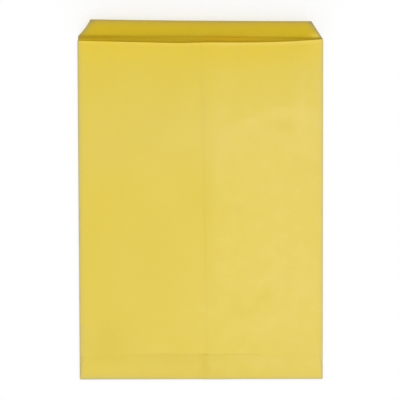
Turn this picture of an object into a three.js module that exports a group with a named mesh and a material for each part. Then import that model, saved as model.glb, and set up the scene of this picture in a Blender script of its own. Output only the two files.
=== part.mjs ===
// Laminated pocket envelope: one die-cut sheet of film-faced paper, folded in at both sides and up at
// the bottom, lapped and glued, with its closure flap standing open. It lies on its plain side.
// Millimetres: X runs across the pocket, Y towards the flap, Z up from the surface that it lies on.
// The origin is on the underside, in the middle of the pocket.
import * as THREE from "three";

// Finished pocket, measured over the folds
const POCKET_WIDTH = 254;
const POCKET_HEIGHT = 355.6;

// Sheet and glue line
const SHEET = 0.2;
const GLUE = 0.05;

// Lap of the right side panel over the left one, measured right of the middle of the pocket
const LAP = 11;
const SEAM_AT_MOUTH = 0.5;
const SEAM_AT_BOTTOM = 7;
const LAP_RAMP = 8; // how far the paper takes to come down off the edge of a lap

// Hollow of the pocket
const RIDGE_HEIGHT = 4.8; // rise of the upper side at the lap's hidden edge, at the mouth
const RIDGE_ROUND = 14; // how wide the two slopes round into each other
const FULLNESS = 3; // how soon the pocket opens above its bottom fold
const SIDE_FOLD_GAP = 0.5; // between the layers, inside the side folds

// Throat: how far the mouth's cut edges stop short of the pocket's full height
const THROAT_LEFT = 3.1;
const THROAT_SEAM_LEFT = 6.8;
const THROAT_SEAM_RIGHT = 6;
const THROAT_RIGHT = 2.2;
const MOUTH_CURVE = 3; // how late the right panel's edge turns up towards its corner

// Bottom flap, folded up outside the side panels
const BOTTOM_FLAP = 26; // from the bottom fold to its free edge
const BOTTOM_FLAP_TAPER = 3; // how far each end slants in

// Closure flap
const FLAP_LENGTH = 24.5;
const FLAP_TAPER_LEFT = 14.9; // how far its left end slants in
const FLAP_TAPER_RIGHT = 13.5; // and its right end
const FLAP_ANGLE = 52; // degrees above the back panel, in the middle
const FLAP_TWIST = 2; // degrees that its left end stands steeper than its right end
const CREASE_SLANT = 3.2; // how much higher the crease runs on the left than on the right
const SHOULDER = 0.8; // how far the crease stops short of each side fold
const CREASE_RADIUS = 0.5; // to the middle of the sheet

// Fineness of the faces
const FOLD_STEPS = 6;
const CREASE_STEPS = 4;
const PANEL_STEPS = 8;
const BODY_STEPS = 11;
const FLAP_STEPS = 3;
const BOTTOM_FLAP_STEPS = 4;
const CROWDING = 1.7; // draws the faces of a panel together towards the lap

// Heights and edges that follow from the sizes above
const half = POCKET_WIDTH / 2;
const bottom = -POCKET_HEIGHT / 2;
const crease = POCKET_HEIGHT / 2;
const layer = SHEET + GLUE;
const foldRadius = (SIDE_FOLD_GAP + SHEET) / 2;
const backMiddle = SHEET / 2;
const backEdge = half - SHEET / 2 - foldRadius;
const panelBase = backMiddle + 2 * foldRadius;
const bottomFoldRadius = foldRadius + layer / 2;
const bottomLine = bottom + SHEET / 2 + bottomFoldRadius;
const bottomFlapEdge = bottom + BOTTOM_FLAP;

const { clamp, degToRad, lerp, mapLinear } = THREE.MathUtils;

// A place on the sheet: the middle of its thickness, and the direction that its laminated face looks
const place = (x, y, z, outX, outY, outZ) => ({
  middle: new THREE.Vector3(x, y, z),
  out: new THREE.Vector3(outX, outY, outZ),
});

// Numbers from 0 to 1 in equal steps
const shares = (steps) => Array.from({ length: steps + 1 }, (_, step) => step / steps);

// Slanting lines up the pocket: the lap's visible cut edge, and the feet of the ramps on both sides of it
const seamAt = (y) => mapLinear(y, bottom, crease, SEAM_AT_BOTTOM, SEAM_AT_MOUTH);
const leftFootAt = (y) => seamAt(y) - LAP_RAMP;
const rightFootAt = (y) => seamAt(y) + LAP + LAP_RAMP;

// Rise of the pocket's upper side: a slope from each side fold, rounded where they meet at the lap's
// hidden edge, growing from the bottom fold to the mouth
function rise(x, y) {
  const ridge = seamAt(y) + LAP;
  const left = (x + half) / (half + ridge);
  const right = (half - x) / (half - ridge);
  const across = (left + right - Math.hypot(left - right, RIDGE_ROUND / half)) / 2;
  const along = 1 - (1 - (y - bottom) / POCKET_HEIGHT) ** FULLNESS;
  return RIDGE_HEIGHT * across * along;
}

// Share of the lap's extra layer that paper lying over it has to climb, on both sides of the lap
// or, for the panel that makes the lap, on its right alone
function climb(x, y, bothSides) {
  const pastSeam = (x - seamAt(y)) / LAP_RAMP;
  const fromRight = 1 + LAP / LAP_RAMP - pastSeam;
  const fromLeft = bothSides ? 1 + pastSeam : 1;
  return clamp(Math.min(fromLeft, fromRight), 0, 1);
}

// Heights of the middle of the sheet in the layers above the back panel
const leftPanelHeight = (x, y) => panelBase + rise(x, y);
const rightPanelHeight = (x, y) => leftPanelHeight(x, y) + layer * climb(x, y, false);
const bottomFlapHeight = (x, y) => leftPanelHeight(x, y) + layer * (1 + climb(x, y, true));

// The cut edge of the mouth: straight on the left panel, a shallow curve on the right one
function leftMouth(x) {
  return crease - mapLinear(x, -half, SEAM_AT_MOUTH, THROAT_LEFT, THROAT_SEAM_LEFT);
}

function rightMouth(x) {
  const along = (x - SEAM_AT_MOUTH) / (half - SEAM_AT_MOUTH);
  return crease - lerp(THROAT_SEAM_RIGHT, THROAT_RIGHT, along ** MOUTH_CURVE);
}

function backMouth(x) {
  return mapLinear(x, -half, half, leftMouth(-half), rightMouth(half));
}

// Lines up the envelope, from the left side fold over the lap to the right one. All the layers share
// them, so that their faces lie along each other.
const crowded = shares(PANEL_STEPS).map((share) => share ** CROWDING);
const leftLines = crowded.map((share) => (y) => lerp(leftFootAt(y), -backEdge, share)).reverse();
const lapLines = [0, LAP / 2, LAP].map((station) => (y) => seamAt(y) + station);
const rightLines = crowded.map((share) => (y) => lerp(rightFootAt(y), backEdge, share));

// Rows up the body, each a function from the height of a line's end at the mouth to its own height
const bodyRows = [
  ...shares(BOTTOM_FLAP_STEPS).map((share) => () => lerp(bottomLine, bottomFlapEdge, share)),
  ...shares(BODY_STEPS).slice(1).map((share) => (mouth) => lerp(bottomFlapEdge, mouth, share)),
];

// Columns of the blank, in the order that they have on the flat sheet. Each gives its place in a row.
function leftPanelColumns() {
  return [...leftLines.slice(1), ...lapLines].reverse().map((xAt) => (rowAt) => {
    const y = rowAt(leftMouth(xAt(crease)));
    return place(xAt(y), y, leftPanelHeight(xAt(y), y), 0, 0, 1);
  });
}

function rightPanelColumns() {
  return [...lapLines, ...rightLines.slice(0, -1)].reverse().map((xAt) => (rowAt) => {
    const y = rowAt(rightMouth(xAt(crease)));
    return place(xAt(y), y, rightPanelHeight(xAt(y), y), 0, 0, 1);
  });
}

function backColumns(lines) {
  return lines.map((xAt) => (rowAt) => {
    const y = rowAt(backMouth(xAt(crease)));
    return place(xAt(y), y, backMiddle, 0, 0, -1);
  });
}

function sideFoldColumns(side, mouth) {
  return shares(FOLD_STEPS).slice(1).map((turn) => (rowAt) => {
    const sine = Math.sin(turn * Math.PI);
    const cosine = Math.cos(turn * Math.PI);
    const x = side * (backEdge + foldRadius * sine);
    return place(x, rowAt(mouth), backMiddle + foldRadius * (1 - cosine), side * sine, 0, -cosine);
  });
}

// Draws the outer part of a flap in, by a given amount at its ends, and leaves the lap's lines alone
function drawIn(x, amount) {
  const core = Math.max(rightFootAt(bottom), rightFootAt(crease));
  return x - Math.sign(x) * amount * Math.max(0, (Math.abs(x) - core) / (backEdge - core));
}

// The blank's rows below the back panel, from the bottom flap's free edge round the bottom fold
function bottomRows(lines) {
  const flap = shares(BOTTOM_FLAP_STEPS).slice(0, -1).map((share) => lines.map((xAt) => {
    const y = lerp(bottomFlapEdge, bottomLine, share);
    const x = drawIn(xAt(y), BOTTOM_FLAP_TAPER * (1 - share));
    return place(x, y, bottomFlapHeight(x, y), 0, 0, 1);
  }));
  const fold = shares(FOLD_STEPS).slice(0, -1).map((share) => lines.map((xAt) => {
    const x = xAt(bottomLine);
    const radius = (bottomFlapHeight(x, bottomLine) - backMiddle) / 2;
    const sine = Math.sin(share * Math.PI);
    const cosine = Math.cos(share * Math.PI);
    return place(x, bottomLine - radius * sine, backMiddle + radius * (1 + cosine), 0, -sine, cosine);
  }));
  return [...flap, ...fold];
}

// The closure flap's angle and the line that it bends on, across the pocket
const flapAngleAt = (x) => degToRad(FLAP_ANGLE - (FLAP_TWIST * x) / POCKET_WIDTH);
const creaseAt = (x) => crease - (CREASE_SLANT * x) / POCKET_WIDTH;

// The blank's rows above the back panel, round the crease and up the closure flap
function topRows(lines) {
  const turned = shares(CREASE_STEPS).map((share) => lines.map((xAt) => {
    const x = drawIn(xAt(crease), backEdge - half + SHOULDER);
    const angle = flapAngleAt(x);
    const sine = Math.sin(share * angle);
    const cosine = Math.cos(share * angle);
    const y = creaseAt(x) + CREASE_RADIUS * (sine - Math.tan(angle / 2));
    return place(x, y, backMiddle + CREASE_RADIUS * (1 - cosine), 0, sine, -cosine);
  }));
  const flap = shares(FLAP_STEPS).slice(1).map((share) => turned.at(-1).map(({ middle, out }) => {
    const along = share * FLAP_LENGTH;
    const x = drawIn(middle.x, share * (middle.x < 0 ? FLAP_TAPER_LEFT : FLAP_TAPER_RIGHT));
    return place(x, middle.y - along * out.z, middle.z + along * out.y, ...out);
  }));
  return [...turned, ...flap];
}

// The folded blank as rows of places, with gaps where the cross-shaped blank has no paper
function foldedBlank() {
  const lines = [...leftLines, ...lapLines, ...rightLines];
  const left = [...leftPanelColumns(), ...sideFoldColumns(-1, leftMouth(-half)).reverse()];
  const right = [...sideFoldColumns(1, rightMouth(half)), ...rightPanelColumns()];
  const columns = [...left, ...backColumns(lines), ...right];
  const body = bodyRows.map((rowAt) => columns.map((column) => column(rowAt)));
  const noLeft = left.map(() => null);
  const noRight = right.map(() => null);
  const backOnly = (row) => [...noLeft, ...row, ...noRight];
  return [...bottomRows(lines).map(backOnly), ...body, ...topRows(lines).map(backOnly)];
}

// A closed sheet of even thickness: each cell of the rows gets a face on both sides of the paper,
// and each free edge a cut wall
function sheetGeometry(rows) {
  const width = rows[0].length;
  const positions = [];
  const triangles = [];
  const firstVertex = new Map();
  for (const node of rows.flat().filter(Boolean)) {
    firstVertex.set(node, positions.length / 3);
    for (const side of [0.5, -0.5]) {
      positions.push(...node.middle.clone().addScaledVector(node.out, side * SHEET));
    }
  }
  const exists = (row, column) => Boolean(rows[row]?.[column]);
  const isCell = (row, column) =>
    exists(row, column) && exists(row, column + 1) && exists(row + 1, column) && exists(row + 1, column + 1);
  const outer = (row, column) => firstVertex.get(rows[row][column]);
  const quad = (a, b, c, d) => triangles.push(a, b, c, a, c, d);
  const wall = (from, to) => quad(to, from, from + 1, to + 1);
  for (let row = 0; row + 1 < rows.length; row += 1) {
    for (let column = 0; column + 1 < width; column += 1) {
      if (!isCell(row, column)) continue;
      const a = outer(row, column);
      const b = outer(row, column + 1);
      const c = outer(row + 1, column + 1);
      const d = outer(row + 1, column);
      quad(a, d, c, b);
      quad(a + 1, b + 1, c + 1, d + 1);
      if (!isCell(row, column - 1)) wall(a, d);
      if (!isCell(row + 1, column)) wall(d, c);
      if (!isCell(row, column + 1)) wall(c, b);
      if (!isCell(row - 1, column)) wall(b, a);
    }
  }
  const geometry = new THREE.BufferGeometry();
  geometry.setAttribute("position", new THREE.Float32BufferAttribute(positions, 3));
  geometry.setIndex(triangles);
  geometry.computeVertexNormals();
  return geometry;
}

const laminatedPaper = new THREE.MeshStandardMaterial({ color: 0xdcc044, roughness: 0.45, metalness: 0 });

const envelope = new THREE.Mesh(sheetGeometry(foldedBlank()), laminatedPaper);
envelope.name = "envelope";

const part = new THREE.Group();
part.add(envelope);

export default part;
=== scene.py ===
"""Laminated pocket envelope: its folded sheet with fine relief and finish, on a white table in soft light.

Metres. X runs across the pocket, Y towards the closure flap and Z up from the table.
"""

import math

import bpy
import numpy as np
from mathutils import Matrix, Vector


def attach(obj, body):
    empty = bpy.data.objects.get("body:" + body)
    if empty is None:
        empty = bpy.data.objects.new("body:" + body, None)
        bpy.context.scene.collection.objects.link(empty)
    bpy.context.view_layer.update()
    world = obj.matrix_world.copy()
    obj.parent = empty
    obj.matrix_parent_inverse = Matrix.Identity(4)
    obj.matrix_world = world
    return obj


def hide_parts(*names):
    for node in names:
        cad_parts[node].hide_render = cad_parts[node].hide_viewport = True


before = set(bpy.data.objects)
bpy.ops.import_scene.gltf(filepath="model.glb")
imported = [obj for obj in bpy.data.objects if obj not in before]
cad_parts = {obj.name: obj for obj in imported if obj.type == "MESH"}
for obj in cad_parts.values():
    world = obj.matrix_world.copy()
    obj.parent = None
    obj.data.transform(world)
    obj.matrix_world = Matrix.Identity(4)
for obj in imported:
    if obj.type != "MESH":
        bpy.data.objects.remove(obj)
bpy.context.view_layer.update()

MM = 0.001

# Finished pocket, measured over the folds
POCKET_WIDTH = 254 * MM
POCKET_HEIGHT = 355.6 * MM

# Sheet and glue line
SHEET = 0.2 * MM
GLUE = 0.05 * MM

# Lap of the right side panel over the left one, measured right of the middle of the pocket
LAP = 11 * MM
SEAM_AT_MOUTH = 0.5 * MM
SEAM_AT_BOTTOM = 7 * MM
LAP_RAMP = 8 * MM
LONG_RAMP = 22 * MM  # the lap's hidden edge shows less towards the mouth and the bottom
SHORT_RAMP_AT = 20 * MM
SHORT_RAMP_REACH = 60 * MM

# Hollow of the pocket
RIDGE_HEIGHT = 4.8 * MM
RIDGE_ROUND = 14 * MM
FULLNESS = 3  # power of the curve by which it rises from the bottom to the mouth
SIDE_FOLD_GAP = 0.5 * MM

# Throat: how far the mouth's cut edges stop short of the pocket's full height
THROAT_LEFT = 3.1 * MM
THROAT_SEAM_LEFT = 6.8 * MM
THROAT_SEAM_RIGHT = 6 * MM
THROAT_RIGHT = 2.2 * MM
MOUTH_CURVE = 3  # power of the right edge's curve
CORNER_LEFT = 1 * MM  # how far the cut edges' corners are rounded off at the seam
CORNER_LEFT_REACH = 15 * MM
CORNER_RIGHT = 0.4 * MM
CORNER_RIGHT_REACH = 35 * MM
SAG = 0.2  # share of its rise that the paper loses towards the mouth
SAG_REACH = 30 * MM
LIP = 3 * MM  # how much of the panel curls up along the mouth
LIP_LIFT = 0.33 * MM

# Bottom flap, folded up outside the side panels
BOTTOM_FLAP = 26 * MM
BOTTOM_FLAP_TAPER = 3 * MM
BOTTOM_FLAP_CROWN = 0.5 * MM  # how far it stands off the panels between its fold and its edge
EDGE_SLANT = 0.3 * MM  # how much the cut of its free edge slants towards the ends
EDGE_MIDDLE = -12 * MM
EDGE_PLAIN = 45 * MM  # how far the cut stays plain on both sides of there

# Closure flap
FLAP_LENGTH = 24.5 * MM
FLAP_TAPER_LEFT = 14.9 * MM
FLAP_TAPER_RIGHT = 13.5 * MM
FLAP_LEFT_BOW = 1.1 * MM  # how far the cut of its left end is bowed in
FLAP_ANGLE = math.radians(52)
FLAP_TWIST = math.radians(2)  # how much steeper it stands at its left end than at its right
FLAP_BOW = math.radians(1.5)  # how much steeper it stands in the middle than at its ends
CREASE_SLANT = 3.2 * MM  # how much higher its crease runs on the left than on the right
SHOULDER = 0.8 * MM  # how far the crease's ends lie inside the side folds
CREASE_RADIUS = 0.5 * MM

# Dents and bulges of the upper side: centre, half widths across and along, and height
DENTS = (
    ((85 * MM, 93 * MM), (11 * MM, 9 * MM), -0.8 * MM),
    ((84 * MM, 104 * MM), (9 * MM, 5 * MM), 0.35 * MM),
    ((61 * MM, -89 * MM), (9 * MM, 10 * MM), -1.1 * MM),
    ((69 * MM, -104 * MM), (8 * MM, 9 * MM), -0.5 * MM),
    ((78 * MM, -121 * MM), (10 * MM, 7 * MM), -0.5 * MM),
    ((22 * MM, -106 * MM), (16 * MM, 9 * MM), -0.5 * MM),
)

# Soft buckle of the right panel. Its crest leaves the seam steeply and then turns towards the side fold.
BUCKLE_LEVEL = 85.5 * MM  # where the crest's straight stretch would meet the middle of the pocket
BUCKLE_SLANT = 0.2  # rise of that stretch across the panel
BUCKLE_DROP = 77 * MM  # how far the crest has dropped below it there
BUCKLE_TURN = 11.8 * MM
BUCKLE_HEIGHT = 1.8 * MM
BUCKLE_ONSET = 55 * MM  # how far it takes to reach its height across the panel
BUCKLE_FOOT = 30 * MM  # how soon it runs out below the crest
BUCKLE_HEAD = 100 * MM  # and towards the mouth

# Slow waves of the paper: length, direction and height
WAVES = (
    (140 * MM, math.radians(70), 0.22 * MM),
    (95 * MM, math.radians(-35), 0.16 * MM),
    (62 * MM, math.radians(15), 0.08 * MM),
)
CALM_MARGIN = 24 * MM  # the paper lies even this near to its folds

# Dirt on the folds, which is stronger on the left, and on the edges of the closure flap, with painted shadow
# lines on the flap's right end and at the seam
SOIL_REACH = 1.6 * MM
LEFT_SOIL = 0.5
FLAP_SOIL_REACH = 3.2 * MM
# The closure flap's right end gets a painted shadow line
FLAP_END_SHADOW_LINE = 0.5  # dark line on the closure flap's right end
FLAP_END_SHADOW_LINE_REACH = 0.8 * MM
FLAP_CORNER_SOIL = (  # tips of the closure flap: centre, half widths across and up the flap, and strength
    ((-110 * MM, 23 * MM), (3 * MM, 4 * MM), 0.5),
    ((111.5 * MM, 23 * MM), (2.5 * MM, 3.5 * MM), 0.5),
)
# Painted shadow line beside the lap's cut edge at the seam
SEAM_SHADOW_LINE = 0.08
SEAM_SHADOW_LINE_REACH = 1.5 * MM

# Painted light: a highlight on the rim of the mouth, less sheen painted in the fainter band below it, and
# lighter paper painted where the closure flap's crease lies in shade
RIM_HIGHLIGHT_REACH = 2.5 * MM
BAND_SHEEN_LOSS = 0.5
BAND_SHEEN_LOSS_REACH = 36 * MM
# Lighter paper painted in the middle of the crease, where it lies in shade
CREASE_PAINTED_LIGHTS = (  # centre and half widths along the crease and down from it, and strength
    ((30 * MM, 0), (30 * MM, 4 * MM), 1),
)

# Painted shade: dark lines along the crease and a shadow just inside the mouth's edge, the bottom flap below
# its free edge, and spots on the upper side, mostly painted shade with one smudge
# Painted shade lines in the crease, and a painted shadow on the back panel just inside the mouth's edge
CREASE_PAINTED_SHADES = (  # centre and half widths along the crease and down from it, and strength
    ((-127 * MM, 0.6 * MM), (50 * MM, 2.1 * MM), 1.4),
    ((-78 * MM, 4.2 * MM), (22 * MM, 1.2 * MM), 0.4),
    ((-50 * MM, 1.2 * MM), (32 * MM, 1.2 * MM), 0.55),
    ((127 * MM, 0), (40 * MM, 2.2 * MM), 0.6),
)
# Painted shade of the bottom flap's crown below its free edge
BOTTOM_FLAP_SHADE = 0.2
BOTTOM_FLAP_SHADE_AT = -20 * MM
BOTTOM_FLAP_SHADE_WIDTH = 70 * MM
BOTTOM_FLAP_SHADE_REACH = 35 * MM
# All but the fifth are painted shade, of slopes and along the seam and the lap; the fifth is a smudge
SMUDGES_AND_PAINTED_SHADE = (  # centre, half widths across and along, and strength
    ((-100 * MM, -140 * MM), (34 * MM, 24 * MM), 0.14),
    ((90 * MM, -160 * MM), (50 * MM, 24 * MM), 0.1),
    ((2.5 * MM, 100 * MM), (4 * MM, 22 * MM), 0.1),
    ((6 * MM, -165 * MM), (5 * MM, 14 * MM), 0.12),
    ((40 * MM, -1 * MM), (6 * MM, 5 * MM), 0.16),
    ((87 * MM, 86 * MM), (9 * MM, 4 * MM), 0.06),
)

# Painted sheen, the film's reflection of the light, and a painted highlight on the crest of a dent: centre,
# half widths across and along, and strength
PAINTED_SHEEN_SPOTS = (
    ((0, 83 * MM), (170 * MM, 36 * MM), 0.03),
    ((127 * MM, 120 * MM), (30 * MM, 85 * MM), 0.03),
    ((90 * MM, -75 * MM), (42 * MM, 60 * MM), 0.02),
    ((80 * MM, 22 * MM), (55 * MM, 26 * MM), 0.013),
    ((22 * MM, 58 * MM), (14 * MM, 26 * MM), 0.018),
    ((-95 * MM, 50 * MM), (35 * MM, 18 * MM), 0.012),
    ((83 * MM, 100 * MM), (9 * MM, 5 * MM), 0.015),
)

# Painted light inside the closure flap, lightening its shaded foot and its right end: centre, half widths
# across and up the flap, and strength
FLAP_PAINTED_LIGHTS = (
    ((120 * MM, 4.5 * MM), (6 * MM, 3.5 * MM), 0.6),
    ((30 * MM, 2 * MM), (42 * MM, 2.6 * MM), 0.3),
    ((0, 10 * MM), (60 * MM, 6 * MM), 0.04),
)

# Fineness of the faces
FOLD_STEPS = 12
CREASE_STEPS = 8
THROAT_STEPS = 6
PANEL_STEPS = 42
RAMP_STEPS = 5
LAP_STEPS = 10
BODY_STEPS = 116
LIP_STEPS = 5
FLAP_STEPS = 10
BOTTOM_FLAP_STEPS = 12
CROWDING = 1.6  # draws the faces of the flaps together towards the outline
RIM_LINES = np.array([2.8, 1.5, 0.6]) * MM  # extra lines beside the side folds
SHARP_EDGE = math.radians(25)

# Heights and edges that follow from the sizes above
HALF = POCKET_WIDTH / 2
BOTTOM = -POCKET_HEIGHT / 2
CREASE = POCKET_HEIGHT / 2
LAYER = SHEET + GLUE
FOLD_RADIUS = (SIDE_FOLD_GAP + SHEET) / 2
BACK_MIDDLE = SHEET / 2
BACK_EDGE = HALF - SHEET / 2 - FOLD_RADIUS
PANEL_BASE = BACK_MIDDLE + 2 * FOLD_RADIUS
BOTTOM_LINE = BOTTOM + SHEET / 2 + FOLD_RADIUS + LAYER / 2
BOTTOM_FLAP_EDGE = BOTTOM + BOTTOM_FLAP
LAP_CORE = SEAM_AT_BOTTOM + LAP + LAP_RAMP

# Noise in the materials
NOISE_DETAIL = 3
NOISE_ROUGHNESS = 0.6
SOFT_SPAN = (0.3, 0.7)  # range of the noise over which a soft pattern comes in
CRISP_SPAN = (0.35, 0.65)  # and a crisper one
MARK_CELLS = 90  # cells a metre, here and below
BUMP_DEPTH = 0.1 * MM

# Laminated face, with its colours as linear red, green and blue
FACE_CLOUD_CELLS = 16
FACE_DYE = ((0.742, 0.566, 0.045), (0.757, 0.586, 0.055))
FACE_FIBRE_CELLS = 700
FACE_FIBRE_DETAIL = 4
FACE_FIBRE_STRETCH = (1, 0.4, 1)
FACE_FIBRE_COLOUR = (0.717, 0.548, 0.044)
FACE_FIBRE_SHARE = 0.5
# Soil is dirt with painted shadow lines; the others are painted: sheen, a highlight on the mouth's rim with
# less sheen below it, and shade
FACE_WEAR_AND_PAINTED_LIGHT = (  # kind, its least and its most where noise breaks it up, and its colour
    ("painted_sheen", (0.8, 1.2), (1, 0.92, 0.9)),
    ("painted_rim_and_crease_light", (0.6, 1), (0.86, 0.61, 0)),
    ("painted_shade_and_smudges", (0.45, 0.6), (0.4, 0.24, 0)),
    ("soil_and_painted_shadow", (0.4, 0.6), (0.34, 0.33, 0.25)),
)
FACE_SHEEN_CELLS = 60
FACE_ROUGHNESS = (0.32, 0.4)
FACE_SPECULAR = 0.5
FILM_CELLS = 260
FILM_BUMP = 0.15

# Inside of the paper, in the same terms
INSIDE_CLOUD_CELLS = 22
INSIDE_DYE = ((0.642, 0.463, 0.018), (0.656, 0.481, 0.022))
INSIDE_FIBRE_CELLS = 600
INSIDE_FIBRE_DETAIL = 5
INSIDE_FIBRE_STRETCH = (1, 0.35, 1)
INSIDE_FIBRE_COLOUR = (0.615, 0.435, 0.018)
INSIDE_FIBRE_SHARE = 0.6
# Soil is dirt with a painted shadow line; the others are painted light in the flap's shaded foot and crease,
# and painted shade lines
INSIDE_WEAR_AND_PAINTED_LIGHT = (
    ("painted_flap_light", (0.8, 1.2), (1, 0.78, 0.09)),
    ("painted_rim_and_crease_light", (0.7, 0.86), (0.79, 0.49, 0.012)),
    ("painted_shade_and_smudges", (0.45, 0.6), (0.4, 0.24, 0)),
    ("soil_and_painted_shadow", (0.6, 0.8), (0.29, 0.27, 0.18)),
)
INSIDE_ROUGHNESS = 0.8
INSIDE_SPECULAR = 0.1
INSIDE_BUMP = 0.3

# Cut edges
CUT_FIBRE_CELLS = 1500
CUT_COLOURS = ((0.84, 0.68, 0.07), (0.90, 0.75, 0.13))
CUT_ROUGHNESS = 0.85

# Light: shares of the light on the table, and the direction of the key light
KEY_SHARE = 0.18
FILL_SHARE = 1 - KEY_SHARE
FILL_AT_ZENITH = 0.52
KEY_FROM_ZENITH = math.radians(14)
KEY_AZIMUTH = math.radians(-45)
KEY_SPREAD = math.radians(30)

# Table
WHITE = (1, 1, 1, 1)
TABLE_SIZE = 12
TABLE_BOUNCE = 0.8
TABLE_GLOW = 0.5  # share of its white that is its own, so that the shadow on it stays faint
TABLE_DROP = 0.05 * MM

# Camera: the point that it looks at, and how it stands over that point
CAMERA_TARGET = Vector((-0.72 * MM, 9.74 * MM, 0))
CAMERA_DISTANCE = 1.1
CAMERA_LEAN_RIGHT = math.radians(0.19)
CAMERA_LEAN_UP = math.radians(2.2)
CAMERA_ROLL = math.radians(-0.164)
PICTURE_WIDTH = 415.8 * MM  # at the target
SENSOR_WIDTH = 36  # Blender has this one in millimetres


# Helpers for numbers and arrays

def mix(start, end, share):
    return start + (end - start) * share


def smooth(share):
    """Rises from 0 to 1 with a soft start and end."""
    share = np.clip(share, 0, 1)
    return share * share * (3 - 2 * share)


def arch(share):
    """Rises from 0 at both ends to 1 in the middle."""
    return 4 * share * (1 - share)


def shares(steps):
    return np.linspace(0, 1, steps + 1)


def spots(x, y, sizes):
    """Soft oval spots, each with its own amount."""
    total = 0
    for (centre_x, centre_y), (half_x, half_y), amount in sizes:
        squared = ((x - centre_x) / half_x) ** 2 + ((y - centre_y) / half_y) ** 2
        total = total + amount * np.exp(-squared)
    return total


# Shape of the pocket's upper side

def seam_at(y):
    return mix(SEAM_AT_BOTTOM, SEAM_AT_MOUTH, (y - BOTTOM) / POCKET_HEIGHT)


def rise(x, y):
    """A slope from each side fold, rounded where they meet at the lap's end, growing towards the mouth."""
    ridge = seam_at(y) + LAP
    left = (x + HALF) / (HALF + ridge)
    right = (HALF - x) / (HALF - ridge)
    across = (left + right - np.hypot(left - right, RIDGE_ROUND / HALF)) / 2
    along = 1 - (1 - (y - BOTTOM) / POCKET_HEIGHT) ** FULLNESS
    return RIDGE_HEIGHT * across * along


def climb(x, y, both_sides):
    """Share of the lap's extra layer that paper lying over it has to climb."""
    past_seam = x - seam_at(y)
    ramp = mix(LONG_RAMP, LAP_RAMP, np.exp(-((y - SHORT_RAMP_AT) / SHORT_RAMP_REACH) ** 2))
    from_right = 1 + (LAP - past_seam) / ramp
    from_left = 1 + past_seam / LAP_RAMP if both_sides else 1
    return smooth(np.minimum(from_left, from_right))


def left_mouth(x):
    """Height of the left panel's cut edge."""
    throat = mix(THROAT_LEFT, THROAT_SEAM_LEFT, (x + HALF) / (SEAM_AT_MOUTH + HALF))
    return CREASE - throat + CORNER_LEFT * np.exp(-(x / CORNER_LEFT_REACH) ** 2)


def right_mouth(x):
    """Height of the right panel's cut edge."""
    along = (x - SEAM_AT_MOUTH) / (HALF - SEAM_AT_MOUTH)
    throat = mix(THROAT_SEAM_RIGHT, THROAT_RIGHT, along ** MOUTH_CURVE)
    return CREASE - throat + CORNER_RIGHT * np.exp(-(x / CORNER_RIGHT_REACH) ** 2)


def back_mouth(x):
    """Line across the back panel between the tops of the side folds."""
    return mix(left_mouth(-HALF), right_mouth(HALF), (x + HALF) / POCKET_WIDTH)


def crease_at(x):
    return CREASE - CREASE_SLANT * x / POCKET_WIDTH


def below_mouth(x, y):
    """Distance from the mouth's edge, alike in both panels where they lap."""
    past_seam = smooth((x - SEAM_AT_MOUTH) / LAP)
    return mix(left_mouth(np.minimum(x, LAP)), right_mouth(np.maximum(x, 0)), past_seam) - y


def sagging_rise(x, y):
    return rise(x, y) * (1 - SAG * smooth(1 - below_mouth(x, y) / SAG_REACH))


def lip(x, y):
    """Curl of the mouth's edge."""
    return LIP_LIFT * smooth(1 - below_mouth(x, y) / LIP)


def buckle(x, y):
    """A crest with a short flank below it and a long one towards the mouth, growing across the panel."""
    drop = BUCKLE_DROP * np.exp(-np.maximum(x, 0) / BUCKLE_TURN)
    crest = BUCKLE_LEVEL + BUCKLE_SLANT * x - drop
    steepness = BUCKLE_SLANT + drop / BUCKLE_TURN
    above = (y - crest) / np.hypot(1, steepness)
    below_crest = np.exp(np.minimum(above, 0) / BUCKLE_FOOT)
    above_crest = 1 - smooth(above / BUCKLE_HEAD)
    onset = smooth(x / BUCKLE_ONSET)
    return BUCKLE_HEIGHT * onset * below_crest * above_crest


def waves(x, y):
    height = 0
    for length, direction, amount in WAVES:
        along = x * math.cos(direction) + y * math.sin(direction)
        height = height + amount * np.sin(2 * math.pi * along / length)
    return height


def relief(x, y):
    """Dents, bulges, buckle and waves, which leave the folds straight."""
    calm_x = smooth((HALF - np.abs(x)) / CALM_MARGIN)
    calm_y = smooth((y - BOTTOM) / CALM_MARGIN)
    return calm_x * calm_y * (buckle(x, y) + waves(x, y) + spots(x, y, DENTS))


def left_panel_height(x, y):
    return PANEL_BASE + sagging_rise(x, y) + relief(x, y) + lip(x, y)


def right_panel_height(x, y):
    return left_panel_height(x, y) + LAYER * climb(x, y, False)


def bottom_flap_height(x, y):
    crown = BOTTOM_FLAP_CROWN * np.sin(math.pi * (y - BOTTOM_LINE) / (BOTTOM_FLAP_EDGE - BOTTOM_LINE))
    return left_panel_height(x, y) + LAYER * (1 + climb(x, y, True)) + crown


# Wear, and painted light and shade

# Dirt with painted shadow lines, painted light, painted shade with a smudge, painted sheen, and painted
# light inside the flap
WEAR_AND_PAINTED_LIGHT_KINDS = ("soil_and_painted_shadow", "painted_rim_and_crease_light", "painted_shade_and_smudges", "painted_sheen", "painted_flap_light")


def fold_soil(x, y):
    """Dirt from handling, strongest on the outer folds."""
    inward = np.minimum(HALF - np.abs(x), y - BOTTOM)
    amount = 1 + LEFT_SOIL * smooth(-x / HALF)
    return amount * np.exp(-np.maximum(inward, 0) / SOIL_REACH)


def right_panel_soil_and_seam_shadow(x, y):
    """Dirt on the folds, and a painted shadow line along the seam."""
    return fold_soil(x, y) + SEAM_SHADOW_LINE * np.exp(-(x - seam_at(y)) / SEAM_SHADOW_LINE_REACH)


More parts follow.
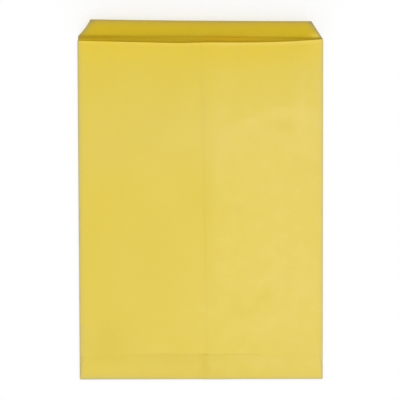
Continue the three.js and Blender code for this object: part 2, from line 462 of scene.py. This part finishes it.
def flap_soil_and_end_shadow(x, along):
    """Dirt on the closure flap, strongest on its free edge and its ends, with a painted shadow line on its
    right end.
    """
    from_left = x - x[..., :1]
    from_right = x[..., -1:] - x
    inward = np.minimum(np.minimum(from_left, from_right), FLAP_LENGTH - along)
    edges = np.exp(-inward / FLAP_SOIL_REACH)
    right_end = FLAP_END_SHADOW_LINE * np.exp(-from_right / FLAP_END_SHADOW_LINE_REACH)
    return edges + right_end + spots(x, along, FLAP_CORNER_SOIL)


# Painted highlight on the rim of the mouth, and painted loss of sheen in the band below it
def mouth_painted_highlight(x, y):
    rim = smooth(1 - below_mouth(x, y) / RIM_HIGHLIGHT_REACH)
    band = BAND_SHEEN_LOSS * smooth(1 - below_mouth(x, y) / BAND_SHEEN_LOSS_REACH)
    return np.maximum(rim, band)


def crease_painted_light_and_shade(x, down):
    """Painted light and painted shade lines along the closure flap's crease, on both sides of it."""
    return spots(x, down, CREASE_PAINTED_LIGHTS), spots(x, down, CREASE_PAINTED_SHADES)


def bottom_flap_shade(x, y):
    """Painted shade below the bottom flap's free edge, with the smudge and the spots of painted shade."""
    across = (x - BOTTOM_FLAP_SHADE_AT) / BOTTOM_FLAP_SHADE_WIDTH
    down = (BOTTOM_FLAP_EDGE - y) / BOTTOM_FLAP_SHADE_REACH
    return BOTTOM_FLAP_SHADE * np.exp(-across ** 2 - down) + spots(x, y, SMUDGES_AND_PAINTED_SHADE)


# Lines up the envelope, each at x = offset + slant * seam_at(y), shared by all the layers

lap_stations = np.concatenate([
    mix(-LAP_RAMP, 0, shares(RAMP_STEPS)[:-1]),
    mix(0, LAP, shares(LAP_STEPS)),
    mix(LAP, LAP + LAP_RAMP, shares(RAMP_STEPS)[1:]),
])
side_shares = np.sort(np.concatenate([shares(PANEL_STEPS)[1:], 1 - RIM_LINES / BACK_EDGE]))
line_offsets = np.concatenate([
    mix(-LAP_RAMP, -BACK_EDGE, side_shares)[::-1],
    lap_stations,
    mix(LAP + LAP_RAMP, BACK_EDGE, side_shares),
])
line_slants = np.concatenate([1 - side_shares[::-1], np.ones(len(lap_stations)), 1 - side_shares])
SEAM_LINE = len(side_shares) + RAMP_STEPS
LAP_END_LINE = SEAM_LINE + LAP_STEPS


def line_x(y, lines=slice(None)):
    return line_offsets[lines] + line_slants[lines] * seam_at(y)


# Rows up the body: heights of the lower ones, and shares of the way from the bottom flap's edge to the mouth

body_shares = np.concatenate([
    mix(0, 1 - LIP / POCKET_HEIGHT, shares(BODY_STEPS)),
    mix(1 - LIP / POCKET_HEIGHT, 1, shares(LIP_STEPS))[1:],
])
bottom_shares = shares(BOTTOM_FLAP_STEPS) ** CROWDING
row_starts = np.concatenate([
    mix(BOTTOM_LINE, BOTTOM_FLAP_EDGE, bottom_shares),
    np.full(len(body_shares) - 1, BOTTOM_FLAP_EDGE),
])[:, None]
row_shares = np.concatenate([np.zeros(BOTTOM_FLAP_STEPS), body_shares])[:, None]


def body_y(mouth):
    return row_starts + row_shares * (mouth - BOTTOM_FLAP_EDGE)


# Blocks of the blank, as rows and columns of places

def places(x, y, z, out, soil_and_painted_shadow, painted_rim_and_crease_light=0, painted_shade_and_smudges=0, painted_sheen=0, painted_flap_light=0):
    """Places on the sheet: middle of its thickness, direction of its laminated face, and kinds of wear and
    of painted light and shade.
    """
    fields = np.broadcast_arrays(x, y, z, *out, soil_and_painted_shadow, painted_rim_and_crease_light, painted_shade_and_smudges, painted_sheen, painted_flap_light)
    return np.stack(fields, axis=-1).astype(float)


def panel_block(lines, mouth, height, soil_and_painted_shadow):
    """A side panel, from the bottom fold up to the mouth."""
    y = body_y(mouth(line_x(CREASE, lines)))
    x = line_x(y, lines)
    wear_and_painted_light = soil_and_painted_shadow(x, y), mouth_painted_highlight(x, y), spots(x, y, SMUDGES_AND_PAINTED_SHADE), spots(x, y, PAINTED_SHEEN_SPOTS)
    return places(x, y, height(x, y), (0, 0, 1), *wear_and_painted_light)


def back_places(x, y):
    """Places on the back panel, which lies flat on the table."""
    wear_and_painted_light = fold_soil(x, y), *crease_painted_light_and_shade(x, crease_at(x) - y)
    return places(x, y, BACK_MIDDLE, (0, 0, -1), *wear_and_painted_light)


def back_block():
    """The back panel up to the mouth."""
    y = body_y(back_mouth(line_x(CREASE)))
    return back_places(line_x(y), y)


def side_fold_block(side, mouth):
    """The turn from the back panel to a side panel, on the left at -1 or on the right at 1."""
    turn = math.pi * shares(FOLD_STEPS)[1:]
    x = side * (BACK_EDGE + FOLD_RADIUS * np.sin(turn))
    z = BACK_MIDDLE + FOLD_RADIUS * (1 - np.cos(turn))
    out = (side * np.sin(turn), 0, -np.cos(turn))
    y = body_y(mouth)
    return places(x, y, z, out, fold_soil(x, y))


def draw_in(x, amount):
    """Draws the outer part of a flap in, by a given amount at its ends."""
    outside = np.maximum(0, (np.abs(x) - LAP_CORE) / (BACK_EDGE - LAP_CORE))
    return x - np.sign(x) * amount * outside


def bottom_flap_block():
    """The bottom flap from its free edge down."""
    share = bottom_shares[:0:-1, None]
    y = mix(BOTTOM_LINE, BOTTOM_FLAP_EDGE, share)
    x = draw_in(line_x(y), BOTTOM_FLAP_TAPER * share)
    slant = EDGE_SLANT / SHEET * smooth(np.abs(x - EDGE_MIDDLE) / EDGE_PLAIN - 1)
    out = (0, np.where(share < 1, 0, -slant), 1)
    wear_and_painted_light = fold_soil(x, y), 0, bottom_flap_shade(x, y), spots(x, y, PAINTED_SHEEN_SPOTS)
    return places(x, y, bottom_flap_height(x, y), out, *wear_and_painted_light)


def bottom_fold_block():
    """The turn from the bottom flap to the back panel."""
    turn = math.pi * shares(FOLD_STEPS)[:-1, None]
    x = line_x(BOTTOM_LINE)
    radius = (bottom_flap_height(x, BOTTOM_LINE) - BACK_MIDDLE) / 2
    y = BOTTOM_LINE - radius * np.sin(turn)
    z = BACK_MIDDLE + radius * (1 + np.cos(turn))
    return places(x, y, z, (0, -np.sin(turn), np.cos(turn)), fold_soil(x, y))


def throat_block(crease_x, crease_y):
    """The back panel between the mouth and the start of the crease."""
    mouth_y = back_mouth(line_x(CREASE))
    mouth_x = line_x(mouth_y)
    share = shares(THROAT_STEPS)[1:-1, None]
    return back_places(mix(mouth_x, crease_x, share), mix(mouth_y, crease_y, share))


def flap_block(x, y, z, angle):
    """The closure flap, from the end of the crease at the given places and angles to its free edge."""
    share = 1 - shares(FLAP_STEPS)[-2::-1, None] ** CROWDING
    along = share * FLAP_LENGTH
    left_end = share * FLAP_TAPER_LEFT + arch(share) * FLAP_LEFT_BOW
    flap_x = draw_in(x, np.where(x < 0, left_end, share * FLAP_TAPER_RIGHT))
    flap_y = y + along * np.cos(angle)
    flap_z = z + along * np.sin(angle)
    out = (0, np.sin(angle), -np.cos(angle))
    wear_and_painted_light = flap_soil_and_end_shadow(flap_x, along), *crease_painted_light_and_shade(flap_x, -along)
    return places(flap_x, flap_y, flap_z, out, *wear_and_painted_light, painted_flap_light=spots(flap_x, along, FLAP_PAINTED_LIGHTS))


def top_block():
    """The throat, the crease and the closure flap."""
    x = draw_in(line_x(CREASE), BACK_EDGE - HALF + SHOULDER)
    angle = FLAP_ANGLE - FLAP_TWIST * x / POCKET_WIDTH + FLAP_BOW * (1 - (x / HALF) ** 2)
    turn = shares(CREASE_STEPS)[:, None] * angle
    y = crease_at(x) + CREASE_RADIUS * (np.sin(turn) - np.tan(angle / 2))
    z = BACK_MIDDLE + CREASE_RADIUS * (1 - np.cos(turn))
    out = (0, np.sin(turn), -np.cos(turn))
    crease = places(x, y, z, out, flap_soil_and_end_shadow(x, 0), *crease_painted_light_and_shade(x, 0), painted_flap_light=spots(x, 0, FLAP_PAINTED_LIGHTS))
    return np.concatenate([throat_block(x, y[0]), crease, flap_block(x, y[-1], z[-1], angle)])


def folded_blank():
    """The folded blank as rows of places, empty where the cross-shaped blank has no paper."""
    left_panel = panel_block(slice(LAP_END_LINE, 0, -1), left_mouth, left_panel_height, fold_soil)
    left_fold = side_fold_block(-1, left_mouth(-HALF))[:, ::-1]
    right_fold = side_fold_block(1, right_mouth(HALF))
    right_lines = slice(-2, SEAM_LINE - 1, -1)
    right_panel = panel_block(right_lines, right_mouth, right_panel_height, right_panel_soil_and_seam_shadow)
    body = np.concatenate([left_panel, left_fold, back_block(), right_fold, right_panel], axis=1)
    left_width = left_panel.shape[1] + left_fold.shape[1]
    right_width = right_panel.shape[1] + right_fold.shape[1]
    beside = ((0, 0), (left_width, right_width), (0, 0))
    bottom = np.concatenate([bottom_flap_block(), bottom_fold_block()])
    return np.concatenate([
        np.pad(bottom, beside, constant_values=np.nan),
        body,
        np.pad(top_block(), beside, constant_values=np.nan),
    ])


# Mesh of the sheet

def sheet_faces(paper):
    """Faces of a closed sheet, as those of its laminated side, of its inside and of its cut edges.

    The places that have paper are numbered row by row, on the laminated side first and then inside.
    """
    inside = np.count_nonzero(paper)
    number = np.cumsum(paper).reshape(paper.shape) - 1
    a, b = number[:-1, :-1], number[:-1, 1:]
    d, c = number[1:, :-1], number[1:, 1:]
    cell = paper[:-1, :-1] & paper[:-1, 1:] & paper[1:, :-1] & paper[1:, 1:]
    around = np.pad(cell, 1)
    edges = (
        (a, d, around[1:-1, :-2]),
        (d, c, around[2:, 1:-1]),
        (c, b, around[1:-1, 2:]),
        (b, a, around[:-2, 1:-1]),
    )
    outer_faces = np.stack([a, d, c, b], axis=-1)[cell]
    inner_faces = np.stack([a, b, c, d], axis=-1)[cell] + inside
    walls = []
    for start, end, neighbour in edges:
        wall = np.stack([end, start, start + inside, end + inside], axis=-1)
        walls.append(wall[cell & ~neighbour])
    return outer_faces, inner_faces, np.concatenate(walls)


def sheet_object(name, rows, materials):
    """A closed sheet of even thickness, with materials for its laminated side, inside and cut edges."""
    paper = ~np.isnan(rows[:, :, 0])
    middle, out, wear_and_painted_light = np.split(rows[paper], [3, 6], axis=1)
    vertices = np.concatenate([middle + out * SHEET / 2, middle - out * SHEET / 2])
    sides = sheet_faces(paper)
    finish = np.repeat(np.arange(len(sides)), [len(faces) for faces in sides])
    mesh = bpy.data.meshes.new(name)
    mesh.from_pydata(vertices.tolist(), [], np.concatenate(sides).tolist())
    for material in materials:
        mesh.materials.append(material)
    mesh.polygons.foreach_set("material_index", finish.astype(np.int32))
    mesh.polygons.foreach_set("use_smooth", np.ones(len(finish), bool))
    for kind, amounts in zip(WEAR_AND_PAINTED_LIGHT_KINDS, wear_and_painted_light.T):
        attribute = mesh.attributes.new(kind, "FLOAT", "POINT")
        attribute.data.foreach_set("value", np.tile(amounts, 2).astype(np.float32))
    mesh.set_sharp_from_angle(angle=SHARP_EDGE)
    mesh.update()
    sheet = bpy.data.objects.new(name, mesh)
    bpy.context.scene.collection.objects.link(sheet)
    return sheet


# Shader nodes

COLOUR_MIX_INPUTS = (0, 6, 7)  # a mix node's sockets for the factor and for two colours
COLOUR_MIX_RESULT = 2


def new_material(name):
    material = bpy.data.materials.new(name)
    material.use_nodes = True
    return material, material.node_tree


def add_node(tree, kind, inputs, **settings):
    """Adds a shader node. An input that is given as a socket is linked, and any other is set."""
    node = tree.nodes.new(kind)
    for setting, value in settings.items():
        setattr(node, setting, value)
    for socket, value in inputs.items():
        if isinstance(value, bpy.types.NodeSocket):
            tree.links.new(value, node.inputs[socket])
        else:
            node.inputs[socket].default_value = value
    return node


def noise(tree, cells, detail=NOISE_DETAIL, stretch=(1, 1, 1)):
    """Noise of a given number of cells a metre, stretched along the axes."""
    coordinates = add_node(tree, "ShaderNodeTexCoord", {}).outputs["Object"]
    mapping = add_node(tree, "ShaderNodeMapping", {"Vector": coordinates, "Scale": stretch})
    inputs = {
        "Vector": mapping.outputs["Vector"],
        "Scale": cells,
        "Detail": detail,
        "Roughness": NOISE_ROUGHNESS,
    }
    return add_node(tree, "ShaderNodeTexNoise", inputs).outputs["Fac"]


def ranged(tree, value, span, results):
    """Maps a span of values to a span of results."""
    inputs = {
        "Value": value,
        "From Min": span[0],
        "From Max": span[1],
        "To Min": results[0],
        "To Max": results[1],
    }
    return add_node(tree, "ShaderNodeMapRange", inputs).outputs["Result"]


def combined(tree, operation, first, second):
    return add_node(tree, "ShaderNodeMath", {0: first, 1: second}, operation=operation).outputs["Value"]


def mixed_shader(tree, factor, first, second):
    return add_node(tree, "ShaderNodeMixShader", {0: factor, 1: first, 2: second}).outputs["Shader"]


def mixed_colour(tree, factor, first, second):
    """Mixes two colours, of which the first may come from another node."""
    if not isinstance(first, bpy.types.NodeSocket):
        first = (*first, 1)
    inputs = dict(zip(COLOUR_MIX_INPUTS, (factor, first, (*second, 1))))
    return add_node(tree, "ShaderNodeMix", inputs, data_type="RGBA").outputs[COLOUR_MIX_RESULT]


def worn_and_painted_colour(tree, colour, kinds):
    """Lays kinds of wear and of painted light and shade over a colour, each where the sheet has it, broken
    up by noise.
    """
    for kind, strengths, mark_colour in kinds:
        place = add_node(tree, "ShaderNodeAttribute", {}, attribute_name=kind).outputs["Fac"]
        strength = ranged(tree, noise(tree, MARK_CELLS), CRISP_SPAN, strengths)
        amount = combined(tree, "MULTIPLY", place, strength)
        colour = mixed_colour(tree, amount, colour, mark_colour)
    return colour


def bumped(tree, height, strength):
    inputs = {"Strength": strength, "Distance": BUMP_DEPTH, "Height": height}
    return add_node(tree, "ShaderNodeBump", inputs).outputs["Normal"]


# Materials

def laminated_face():
    """Yellow paper under a satin film: cloudy dye, fine fibres, wear, and painted sheen, highlight and
    shade.
    """
    material, tree = new_material("laminated_face")
    shader = tree.nodes["Principled BSDF"]
    clouds = ranged(tree, noise(tree, FACE_CLOUD_CELLS), SOFT_SPAN, (0, 1))
    dye = mixed_colour(tree, clouds, *FACE_DYE)
    fibres = noise(tree, FACE_FIBRE_CELLS, FACE_FIBRE_DETAIL, FACE_FIBRE_STRETCH)
    fibre_share = ranged(tree, fibres, CRISP_SPAN, (0, FACE_FIBRE_SHARE))
    grain = mixed_colour(tree, fibre_share, dye, FACE_FIBRE_COLOUR)
    tree.links.new(worn_and_painted_colour(tree, grain, FACE_WEAR_AND_PAINTED_LIGHT), shader.inputs["Base Color"])
    roughness = ranged(tree, noise(tree, FACE_SHEEN_CELLS), SOFT_SPAN, FACE_ROUGHNESS)
    tree.links.new(roughness, shader.inputs["Roughness"])
    tree.links.new(bumped(tree, noise(tree, FILM_CELLS), FILM_BUMP), shader.inputs["Normal"])
    shader.inputs["Specular IOR Level"].default_value = FACE_SPECULAR
    return material


def paper_inside():
    """Bare matt side of the same dyed paper, with its own wear and painted light and shade."""
    material, tree = new_material("paper_inside")
    shader = tree.nodes["Principled BSDF"]
    clouds = ranged(tree, noise(tree, INSIDE_CLOUD_CELLS), SOFT_SPAN, (0, 1))
    dye = mixed_colour(tree, clouds, *INSIDE_DYE)
    fibres = noise(tree, INSIDE_FIBRE_CELLS, INSIDE_FIBRE_DETAIL, INSIDE_FIBRE_STRETCH)
    fibre_share = ranged(tree, fibres, CRISP_SPAN, (0, INSIDE_FIBRE_SHARE))
    grain = mixed_colour(tree, fibre_share, dye, INSIDE_FIBRE_COLOUR)
    tree.links.new(worn_and_painted_colour(tree, grain, INSIDE_WEAR_AND_PAINTED_LIGHT), shader.inputs["Base Color"])
    tree.links.new(bumped(tree, fibres, INSIDE_BUMP), shader.inputs["Normal"])
    shader.inputs["Roughness"].default_value = INSIDE_ROUGHNESS
    shader.inputs["Specular IOR Level"].default_value = INSIDE_SPECULAR
    return material


def cut_edge():
    """Paler core of the paper where it was cut."""
    material, tree = new_material("cut_edge")
    shader = tree.nodes["Principled BSDF"]
    fibres = ranged(tree, noise(tree, CUT_FIBRE_CELLS), CRISP_SPAN, (0, 1))
    tree.links.new(mixed_colour(tree, fibres, *CUT_COLOURS), shader.inputs["Base Color"])
    shader.inputs["Roughness"].default_value = CUT_ROUGHNESS
    return material


# Table, light and camera

def seen_directly(tree):
    """1 for rays that come from the camera or from a mirror or glass, and 0 for light on the way."""
    path = add_node(tree, "ShaderNodeLightPath", {})
    seen = path.outputs["Is Camera Ray"]
    for kind in ("Is Glossy Ray", "Is Transmission Ray"):
        seen = combined(tree, "MAXIMUM", seen, path.outputs[kind])
    return seen


def add_table():
    """A white table top, which throws back a little less light than it shows."""
    material, tree = new_material("table_white")
    material.cycles.emission_sampling = "NONE"  # its glow is only to be seen
    tree.nodes.remove(tree.nodes["Principled BSDF"])
    lit = add_node(tree, "ShaderNodeBsdfDiffuse", {"Color": WHITE}).outputs["BSDF"]
    glow = add_node(tree, "ShaderNodeEmission", {"Color": WHITE, "Strength": 1}).outputs["Emission"]
    shown = mixed_shader(tree, TABLE_GLOW, lit, glow)
    grey = (TABLE_BOUNCE, TABLE_BOUNCE, TABLE_BOUNCE, 1)
    bounced = add_node(tree, "ShaderNodeBsdfDiffuse", {"Color": grey}).outputs["BSDF"]
    surface = mixed_shader(tree, seen_directly(tree), bounced, shown)
    tree.links.new(surface, tree.nodes["Material Output"].inputs["Surface"])
    reach = TABLE_SIZE / 2
    corners = [(-reach, -reach, -TABLE_DROP), (reach, -reach, -TABLE_DROP),
               (reach, reach, -TABLE_DROP), (-reach, reach, -TABLE_DROP)]
    mesh = bpy.data.meshes.new("table")
    mesh.from_pydata(corners, [], [(0, 1, 2, 3)])
    mesh.materials.append(material)
    table = bpy.data.objects.new("table", mesh)
    bpy.context.scene.collection.objects.link(table)


def add_world():
    """Soft fill light from all round, stronger from the sides than from above, and a white background."""
    world = bpy.data.worlds.new("studio")
    world.use_nodes = True
    tree = world.node_tree
    background = tree.nodes["Background"]
    background.inputs["Color"].default_value = WHITE
    direction = add_node(tree, "ShaderNodeTexCoord", {}).outputs["Generated"]
    height = add_node(tree, "ShaderNodeSeparateXYZ", {"Vector": direction}).outputs["Z"]
    at_horizon = 3 * FILL_SHARE - 2 * FILL_AT_ZENITH  # gives the table its share of the light
    fill = ranged(tree, height, (0, 1), (at_horizon, FILL_AT_ZENITH))
    inputs = {"Factor": seen_directly(tree), "A": fill, "B": 1.0}
    strength = add_node(tree, "ShaderNodeMix", inputs).outputs["Result"]
    tree.links.new(strength, background.inputs["Strength"])
    bpy.context.scene.world = world


def add_key_light():
    """A broad soft light from high up, a little to the right and towards the bottom fold."""
    sideways = math.sin(KEY_FROM_ZENITH)
    towards = Vector((
        sideways * math.cos(KEY_AZIMUTH),
        sideways * math.sin(KEY_AZIMUTH),
        math.cos(KEY_FROM_ZENITH),
    ))
    light = bpy.data.lights.new("key", "SUN")
    light.energy = KEY_SHARE * math.pi / towards.z
    light.angle = KEY_SPREAD
    key = bpy.data.objects.new("key", light)
    key.rotation_mode = "QUATERNION"
    key.rotation_quaternion = towards.to_track_quat("Z", "Y")
    key.location = towards
    bpy.context.scene.collection.objects.link(key)


def add_camera():
    """Looks down on the envelope, from a little towards its flap end."""
    back = Vector((math.sin(CAMERA_LEAN_RIGHT), math.sin(CAMERA_LEAN_UP), 0))
    back.z = math.sqrt(1 - back.length_squared)
    right = Vector((0, 1, 0)).cross(back).normalized()
    turned = Matrix((right, back.cross(right), back)).transposed() @ Matrix.Rotation(CAMERA_ROLL, 3, "Z")
    lens = bpy.data.cameras.new("camera")
    lens.sensor_width = SENSOR_WIDTH
    lens.lens = SENSOR_WIDTH * CAMERA_DISTANCE / PICTURE_WIDTH
    camera = bpy.data.objects.new("camera", lens)
    camera.matrix_world = Matrix.Translation(CAMERA_TARGET + CAMERA_DISTANCE * back) @ turned.to_4x4()
    bpy.context.scene.collection.objects.link(camera)
    bpy.context.scene.camera = camera


envelope = sheet_object("envelope_sheet", folded_blank(), (laminated_face(), paper_inside(), cut_edge()))
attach(envelope, "root")
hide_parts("envelope")

add_table()
add_world()
add_key_light()
add_camera()
bpy.context.scene.view_settings.view_transform = "Standard"
